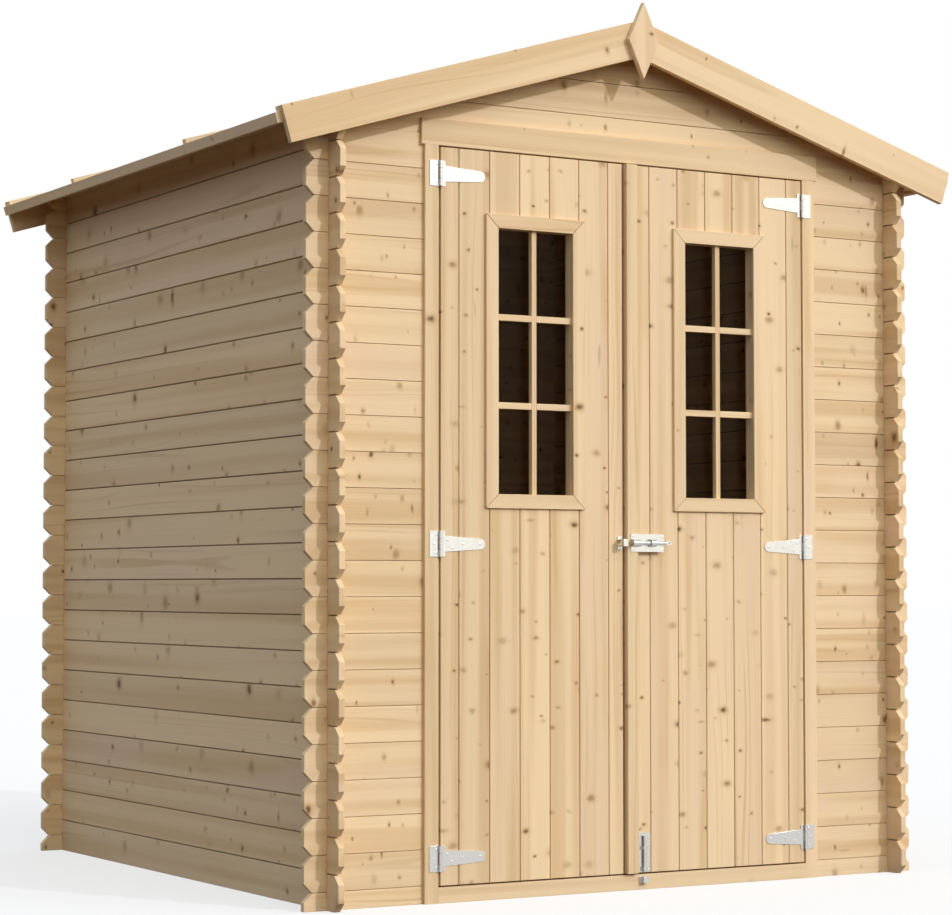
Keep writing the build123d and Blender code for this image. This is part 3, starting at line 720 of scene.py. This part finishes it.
def window_frame(side, low, high):
    """Trim and bead, each of four lengths mitred at the corners."""
    node = f"{side}_window_trim"
    bottom_left = low
    top_right = high
    top_left = Vector((low.x, low.y, high.z))
    bottom_right = Vector((high.x, low.y, low.z))
    centre = (low + high) / 2
    lengths = (
        (ACROSS_X, -UP, ((top_left, -MITRE), (top_right, COUNTER_MITRE))),
        (ACROSS_X, UP, ((bottom_left, -COUNTER_MITRE), (bottom_right, MITRE))),
        (UP, ACROSS_X, ((top_left, MITRE), (bottom_left, COUNTER_MITRE))),
        (UP, -ACROSS_X, ((top_right, -COUNTER_MITRE), (bottom_right, -MITRE))),
    )
    whole = new_timber()
    for along, inward, cuts in lengths:
        member = merged(node)
        cut(member, centre, inward)
        for corner, away in cuts:
            cut(member, corner - away * (MITRE_GAP / 2), away)
        for solid in islands(member):
            ease(solid, EASED_EDGE)
            lay(whole, solid, along, -ACROSS_Y, TRIM_KNOTS_SHARE)
    finish(whole, f"{side}_window_frame", f"{side}_door", "spruce", spruce, node)


def glazing_bars(side, low, high):
    """The upright bar, and the cross bars let in on each side of it."""
    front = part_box(f"{side}_leaf")[0].y + BAR_SET_BACK
    back = front + BAR_DEPTH
    middle = (low.x + high.x) / 2
    left = middle - UPRIGHT_BAR / 2
    right = middle + UPRIGHT_BAR / 2
    lengths = [(UP, Vector((left, front, low.z)), Vector((right, back, high.z)))]
    for height in CROSS_BAR_HEIGHTS:
        bottom = height - CROSS_BAR / 2
        top = height + CROSS_BAR / 2
        lengths.append((ACROSS_X, Vector((low.x, front, bottom)), Vector((left, back, top))))
        lengths.append((ACROSS_X, Vector((right, front, bottom)), Vector((high.x, back, top))))
    whole = new_timber()
    for along, start, end in lengths:
        bar = block(start, end)
        ease(bar, EASED_EDGE)
        lay(whole, bar, along, -ACROSS_Y, TRIM_KNOTS_SHARE)
    finish(whole, f"{side}_window_bars", f"{side}_door", "spruce", spruce)


for side in ("left", "right"):
    trim_low, trim_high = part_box(f"{side}_window_trim")
    trim_inset = Vector((TRIM_WIDTH, 0, TRIM_WIDTH))
    window_frame(side, trim_low + trim_inset, trim_high - trim_inset)
    glazing_bars(side, trim_low + trim_inset, trim_high - trim_inset)

# Float glass: clear and smooth with a trace of dust, so that the dark room shows through. Its index is set
# low, because the white studio all round would wash out the dark panes.
GLASS_TINT = "D2C2B0"
GLASS_INDEX = 1.1
GLASS_DUST = 0.08
DUST_SHARES = (0.4, 0.8)
DUST_ROUGHNESS = 0.04


def float_glass():
    """The panes, a little rougher where the dust lies."""
    material, tree = new_material("float_glass")
    at = add_node(tree, "ShaderNodeTexCoord", {}).outputs["Object"]
    film = {"Vector": at, "Scale": 1 / GLASS_DUST, "Detail": MOTTLED_DETAIL}
    dust = add_node(tree, "ShaderNodeTexNoise", film)
    dust_start, dust_end = DUST_SHARES
    dust_limits = {0: dust, 1: dust_start, 2: dust_end, 4: DUST_ROUGHNESS}
    surface = {
        "Base Color": linear(GLASS_TINT),
        "Roughness": add_node(tree, "ShaderNodeMapRange", dust_limits),
        "Transmission Weight": 1.0,
        "IOR": GLASS_INDEX,
    }
    shader = add_node(tree, "ShaderNodeBsdfPrincipled", surface)
    add_node(tree, "ShaderNodeOutputMaterial", {"Surface": shader})
    return material


pane = float_glass()
for side in ("left", "right"):
    coat(f"{side}_window_glass", pane)

# Hinges, latch and foot bolt. Pressed steel, zinc plated, on the faces of the posts, leaves and sill. They
# are fixed with pan-headed screws with cross recesses.
METAL_EDGE = 0.0004
SMOOTH_ANGLE = math.radians(20)

# Zinc plate: a bright pale grey metal, faintly mottled and satin rather than polished
ZINC = "C3C2C1"
ZINC_DULL = "BBBAB9"
SPANGLE = 0.012
SPANGLE_SHARES = (0.3, 0.7)
ZINC_ROUGHNESS = (0.25, 0.31)


def zinc_plated_steel():
    """The metal of the fittings, duller and rougher in patches."""
    material, tree = new_material("zinc_plated_steel")
    at = add_node(tree, "ShaderNodeTexCoord", {}).outputs["Object"]
    patches = {"Vector": at, "Scale": 1 / SPANGLE, "Detail": MOTTLED_DETAIL}
    spangle = add_node(tree, "ShaderNodeTexNoise", patches)
    start, end = SPANGLE_SHARES
    dull_share = add_node(tree, "ShaderNodeMapRange", {0: spangle, 1: start, 2: end})
    over = {"Factor": dull_share, 6: linear(ZINC), 7: linear(ZINC_DULL)}
    least_rough, most_rough = ZINC_ROUGHNESS
    surface = {
        "Base Color": add_node(tree, "ShaderNodeMix", over, data_type="RGBA").outputs[2],
        "Roughness": add_node(tree, "ShaderNodeMapRange", {0: dull_share, 3: least_rough, 4: most_rough}),
        "Metallic": 1.0,
    }
    shader = add_node(tree, "ShaderNodeBsdfPrincipled", surface)
    add_node(tree, "ShaderNodeOutputMaterial", {"Surface": shader})
    return material


zinc = zinc_plated_steel()

# Screws: low pan heads, sunk a little way into what they hold
SCREW_SIDES = 16
SCREW_RISE = 0.0005
SCREW_DOME = 0.0003
SCREW_ROOT = 0.0003
CROWN_SHARE = 0.45
RECESS_SHARE = 0.32
RECESS_DEPTH = 0.0005
FACING_UP_SHARE = 0.45


def screw(at, radius):
    """A pan head with a cross recess that faces the front, turned as it happened to tighten."""
    head = bmesh.new()
    bmesh.ops.create_circle(head, cap_ends=True, segments=SCREW_SIDES, radius=radius)
    raised = bmesh.ops.extrude_face_region(head, geom=head.faces[:])
    rim = [part for part in raised["geom"] if isinstance(part, bmesh.types.BMVert)]
    bmesh.ops.translate(head, verts=rim, vec=UP * (SCREW_RISE + SCREW_ROOT))
    crown = [part for part in raised["geom"] if isinstance(part, bmesh.types.BMFace)]
    bmesh.ops.recalc_face_normals(head, faces=head.faces)
    bmesh.ops.inset_region(head, faces=crown, thickness=radius * CROWN_SHARE, depth=SCREW_DOME)
    half = radius * RECESS_SHARE / 2
    top = SCREW_RISE + SCREW_ROOT + SCREW_DOME / 2
    for across in (ACROSS_X, ACROSS_Y):
        for place in (-half, half):
            level = [face for face in head.faces if face.calc_center_median().z > top]
            verts = dict.fromkeys(vert for face in level for vert in face.verts)
            edges = dict.fromkeys(edge for face in level for edge in face.edges)
            crown_parts = level + list(verts) + list(edges)
            bmesh.ops.bisect_plane(
                head, geom=crown_parts, dist=MERGE, plane_co=across * place, plane_no=across
            )
    recess = []
    for face in head.faces:
        centre = face.calc_center_median()
        in_cross = min(abs(centre.x), abs(centre.y)) < half
        if centre.z > top and face.normal.z > FACING_UP_SHARE and in_cross:
            recess.append(face)
    sunk = bmesh.ops.extrude_face_region(head, geom=recess)
    floor = [part for part in sunk["geom"] if isinstance(part, bmesh.types.BMVert)]
    bmesh.ops.translate(head, verts=floor, vec=-UP * RECESS_DEPTH)
    bmesh.ops.rotate(head, verts=head.verts, matrix=Matrix.Rotation(random.uniform(0, math.pi), 3, "Z"))
    bmesh.ops.rotate(head, verts=head.verts, matrix=Matrix.Rotation(math.pi / 2, 3, "X"))
    bmesh.ops.translate(head, verts=head.verts, vec=at + ACROSS_Y * SCREW_ROOT)
    return head


def pressed(node, name, body, screw_places, screw_radius):
    """A node with its edges eased, and the screws that hold it."""
    whole = merged(node)
    ease(whole, METAL_EDGE)
    for place in screw_places:
        join(whole, screw(place, screw_radius))
    for face in whole.faces:
        face.smooth = True
    for edge in whole.edges:
        edge.smooth = edge.is_manifold and edge.calc_face_angle() < SMOOTH_ANGLE
    finish(whole, name, body, "zinc", zinc, node)


# Hinge screws: three up the plate on the post, four along the strap on the leaf
HINGE_SCREW = 0.0034
PLATE_THICKNESS = 0.002
PLATE_SCREW_RISES = (-0.022, 0, 0.022)
PLATE_SCREW_ASIDES = (0.010, 0.017, 0.010)
STRAP_SCREWS = ((0.021, 0.010), (0.033, -0.009), (0.064, 0), (0.113, 0))
hinge_axes = {joint["child"]: joint["pos_m"] for joint in frame["joints"] if joint["type"] == "hinge"}
for side, inward in (("left", 1), ("right", -1)):
    hinge_x = hinge_axes[f"{side}_door"][0]
    post_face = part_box(f"door_post_{side}")[0].y - PLATE_THICKNESS
    hinge_middles = []
    for solid in islands(merged(f"{side}_hinge_plates")):
        heights = [vert.co.z for vert in solid.verts]
        hinge_middles.append((min(heights) + max(heights)) / 2)
        solid.free()
    plate_screws = []
    strap_screws = []
    for middle in sorted(hinge_middles):
        for rise, aside in zip(PLATE_SCREW_RISES, PLATE_SCREW_ASIDES):
            plate_screws.append(Vector((hinge_x - inward * aside, post_face, middle + rise)))
        for reach, rise in STRAP_SCREWS:
            strap_screws.append(Vector((hinge_x + inward * reach, post_face, middle + rise)))
    pressed(f"{side}_hinge_plates", f"{side}_hinge_plates_zinc", "shed", plate_screws, HINGE_SCREW)
    pressed(f"{side}_hinge_straps", f"{side}_hinge_straps_zinc", f"{side}_door", strap_screws, HINGE_SCREW)

# Latch and foot bolt: each bolt slides in guides on a screwed plate, and each keeper is a bent strip with a
# foot at both sides
BOLT_SCREW = 0.0026
PLATE_CORNER_INSET = 0.006
KEEPER_STRIP = 0.0025
KEEPER_SCREW = 0.0021
KEEPER_INSET = 0.0032


def corner_screws(node, face_y):
    """The places of the screws near a plate's four corners."""
    low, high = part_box(node)
    columns = (low.x + PLATE_CORNER_INSET, high.x - PLATE_CORNER_INSET)
    levels = (low.z + PLATE_CORNER_INSET, high.z - PLATE_CORNER_INSET)
    return [Vector((x, face_y, z)) for x in columns for z in levels]


strip_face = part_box("cover_strip")[0].y
leaf_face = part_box("right_leaf")[0].y
for node, behind in (("latch_plate", strip_face), ("foot_bolt_plate", leaf_face)):
    screws = corner_screws(node, behind - PLATE_THICKNESS)
    pressed(node, f"{node}_zinc", "right_door", screws, BOLT_SCREW)
keeper_low, keeper_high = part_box("latch_keeper")
keeper_x = (keeper_low.x + keeper_high.x) / 2
keeper_levels = (keeper_low.z + KEEPER_INSET, keeper_high.z - KEEPER_INSET)
latch_keeper_screws = [Vector((keeper_x, leaf_face - KEEPER_STRIP, z)) for z in keeper_levels]
pressed("latch_keeper", "latch_keeper_zinc", "left_door", latch_keeper_screws, KEEPER_SCREW)
foot_low, foot_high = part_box("foot_bolt_keeper")
foot_z = (foot_low.z + foot_high.z) / 2
foot_columns = (foot_low.x + KEEPER_INSET, foot_high.x - KEEPER_INSET)
foot_keeper_screws = [Vector((x, leaf_face - KEEPER_STRIP, foot_z)) for x in foot_columns]
pressed("foot_bolt_keeper", "foot_bolt_keeper_zinc", "shed", foot_keeper_screws, KEEPER_SCREW)
for bolt in ("latch_bolt", "foot_bolt"):
    pressed(bolt, f"{bolt}_zinc", bolt, (), 0)

# Studio. A floor that the camera and the metal see as white paper with the shed's shadow on it, a white
# backdrop, a key light from the front right, a broad warm light from the front and an even, slightly cooler
# fill. Light that bounces off the floor is dim and warm, so undersides stay dark.
FLOOR_SIZE = 60.0
PAPER = "F8F8F8"
PAPER_BOUNCE = "3C2B1A"
PAPER_GLOW_SHARE = 0.62
WHITE = "FFFFFF"
KEY_FROM = Vector((0.50, -1.0, 0.57))
KEY_STRENGTH = 1.16
KEY_TINT_SHARES = (0.99, 1.0, 1.22)
KEY_SOFTNESS = math.radians(1.5)
FRONT_FROM = Vector((0.40, -1.0, 0.40))
FRONT_STRENGTH = 1.62
FRONT_TINT_SHARES = (1.06, 1.0, 0.70)
FRONT_SOFTNESS = math.radians(90)
FILL_STRENGTH = 0.72
FILL_TINT_SHARES = (0.85, 0.92, 1.02, 1.0)
floor_mesh = bmesh.new()
bmesh.ops.create_grid(floor_mesh, x_segments=1, y_segments=1, size=FLOOR_SIZE)
stage_mesh = bpy.data.meshes.new("studio_floor")
floor_mesh.to_mesh(stage_mesh)
floor_mesh.free()
stage = bpy.data.objects.new("studio_floor", stage_mesh)
bpy.context.scene.collection.objects.link(stage)


def seen_directly(tree):
    """1 for rays from the camera, from metal and through glass, 0 for bounced light."""
    path = add_node(tree, "ShaderNodeLightPath", {}).outputs
    seen = path["Is Camera Ray"]
    for kind in ("Is Glossy Ray", "Is Transmission Ray"):
        seen = add_node(tree, "ShaderNodeMath", {0: seen, 1: path[kind]}, operation="MAXIMUM")
    return seen


def white_paper():
    """The floor, white with a shadow where it is seen and dim where light bounces."""
    material, tree = new_material("white_paper")
    shadowed = add_node(tree, "ShaderNodeBsdfDiffuse", {"Color": linear(PAPER)})
    glow = add_node(tree, "ShaderNodeEmission", {"Color": linear(WHITE), "Strength": 1.0})
    shown = add_node(tree, "ShaderNodeMixShader", {0: PAPER_GLOW_SHARE, 1: shadowed, 2: glow})
    dim = add_node(tree, "ShaderNodeBsdfDiffuse", {"Color": linear(PAPER_BOUNCE)})
    mixed = add_node(tree, "ShaderNodeMixShader", {0: seen_directly(tree), 1: dim, 2: shown})
    add_node(tree, "ShaderNodeOutputMaterial", {"Surface": mixed})
    return material


stage_mesh.materials.append(white_paper())

world = bpy.data.worlds.new("studio")
bpy.context.scene.world = world
world.use_nodes = True
studio = world.node_tree
studio.nodes.clear()
fill = add_node(studio, "ShaderNodeBackground", {"Color": FILL_TINT_SHARES, "Strength": FILL_STRENGTH})
backdrop = add_node(studio, "ShaderNodeBackground", {"Color": linear(WHITE), "Strength": 1.0})
surround = add_node(studio, "ShaderNodeMixShader", {0: seen_directly(studio), 1: fill, 2: backdrop})
add_node(studio, "ShaderNodeOutputWorld", {"Surface": surround})

lamps = {
    "key_light": (KEY_FROM, KEY_STRENGTH, KEY_TINT_SHARES, KEY_SOFTNESS),
    "front_light": (FRONT_FROM, FRONT_STRENGTH, FRONT_TINT_SHARES, FRONT_SOFTNESS),
}
for name, (place, strength, tint, softness) in lamps.items():
    light = bpy.data.lights.new(name, "SUN")
    light.energy = strength
    light.color = tint
    light.angle = softness
    lamp = bpy.data.objects.new(name, light)
    lamp.rotation_euler = place.to_track_quat("Z", "Y").to_euler()
    bpy.context.scene.collection.objects.link(lamp)

# Camera at the photograph's viewpoint, before the left-hand front corner and a little below the middle of
# the doors. Its lens and sensor are in millimetres.
CAMERA_PLACE = (-3.7288, -6.4440, 0.7651)
CAMERA_TILT = math.radians(92.785)
CAMERA_TURN = math.radians(-30.421)
CAMERA_REACH = 200.0
CAMERA_LENS = 100.02
CAMERA_SENSOR = 36.0
camera = bpy.data.cameras.new("camera")
camera.lens = CAMERA_LENS
camera.sensor_width = CAMERA_SENSOR
camera.sensor_fit = "HORIZONTAL"
camera.clip_end = CAMERA_REACH
viewer = bpy.data.objects.new("camera", camera)
viewer.location = CAMERA_PLACE
viewer.rotation_euler = (CAMERA_TILT, 0, CAMERA_TURN)
bpy.context.scene.collection.objects.link(viewer)
bpy.context.scene.camera = viewer
bpy.context.scene.view_settings.view_transform = "Standard"
